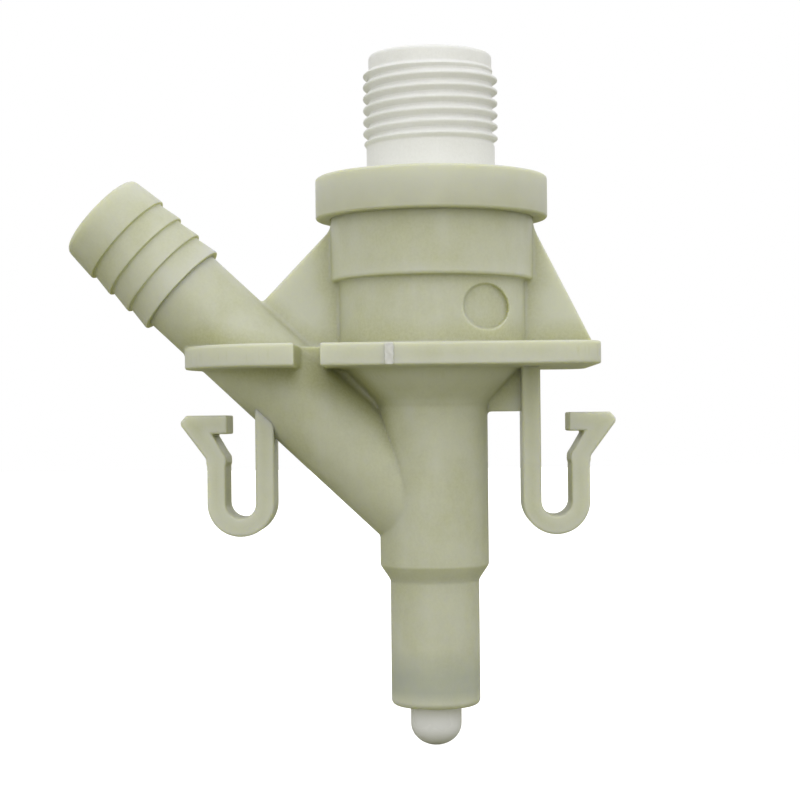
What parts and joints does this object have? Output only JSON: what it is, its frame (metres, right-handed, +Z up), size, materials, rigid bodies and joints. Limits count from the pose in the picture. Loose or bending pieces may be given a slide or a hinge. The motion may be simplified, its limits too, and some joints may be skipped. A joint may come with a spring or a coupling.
{
  "type": "pedal water valve",
  "caption": "Pedal-operated water inlet valve: threaded inlet on top, slanted hose barb, flange with snap clips, and a sprung plunger at the foot.",
  "frame": {"origin": "where the valve's axis meets the underside of the flange", "axes": "+Z up the valve's axis towards the threaded inlet; -X towards the hose barb; -Y is the front; symmetric about the XZ plane apart from the thread, the round recess and the gate mark"},
  "size_m": [0.085, 0.0362, 0.1073],
  "materials": {
    "body_nylon": "moulded glass-filled nylon, fine grain",
    "inlet_nylon": "white moulded plastic, satin",
    "plunger_acetal": "cool white acetal, smooth",
    "strainer_plastic": "white moulded plastic",
    "black_rubber": "matt black rubber",
    "spring_steel": "drawn stainless wire and strip",
    "screen_steel": "woven stainless screen"
  },
  "bodies": {
    "housing": {"valve_body": "body_nylon", "left_clip_post": "body_nylon", "right_clip_post": "body_nylon", "retaining_collar": "body_nylon", "inlet_fitting": "inlet_nylon", "inlet_o_ring": "black_rubber", "flow_washer": "black_rubber", "strainer_frame": "strainer_plastic", "strainer_screen": "screen_steel", "stem_guide": "plunger_acetal", "spring_washer": "spring_steel", "return_spring": "spring_steel"},
    "plunger": {"plunger_stem": "plunger_acetal", "poppet_seal": "black_rubber", "poppet_cap": "plunger_acetal", "push_on_washer": "spring_steel", "upper_stem_o_ring": "black_rubber", "lower_stem_o_ring": "black_rubber"},
    "left_clip": {"left_hook": "body_nylon"},
    "right_clip": {"right_hook": "body_nylon"}
  },
  "joints": [
    {"name": "plunger_slide", "type": "slide", "parent": "housing", "child": "plunger", "axis": [0, 0, 1], "range_m": [0, 0.0045], "stiffness_N_per_m": 600, "springref_m": -0.008, "deforming": ["return_spring"]},
    {"name": "left_clip_flex", "type": "hinge", "parent": "housing", "child": "left_clip", "pos_m": [-0.02975, 0, -0.02443], "axis": [0, 1, 0], "range_deg": [0, 9], "stiffness_Nm_per_rad": 1.8},
    {"name": "right_clip_flex", "type": "hinge", "parent": "housing", "child": "right_clip", "pos_m": [0.0188, 0, -0.02443], "axis": [0, -1, 0], "range_deg": [0, 13], "stiffness_Nm_per_rad": 1.8}
  ]
}
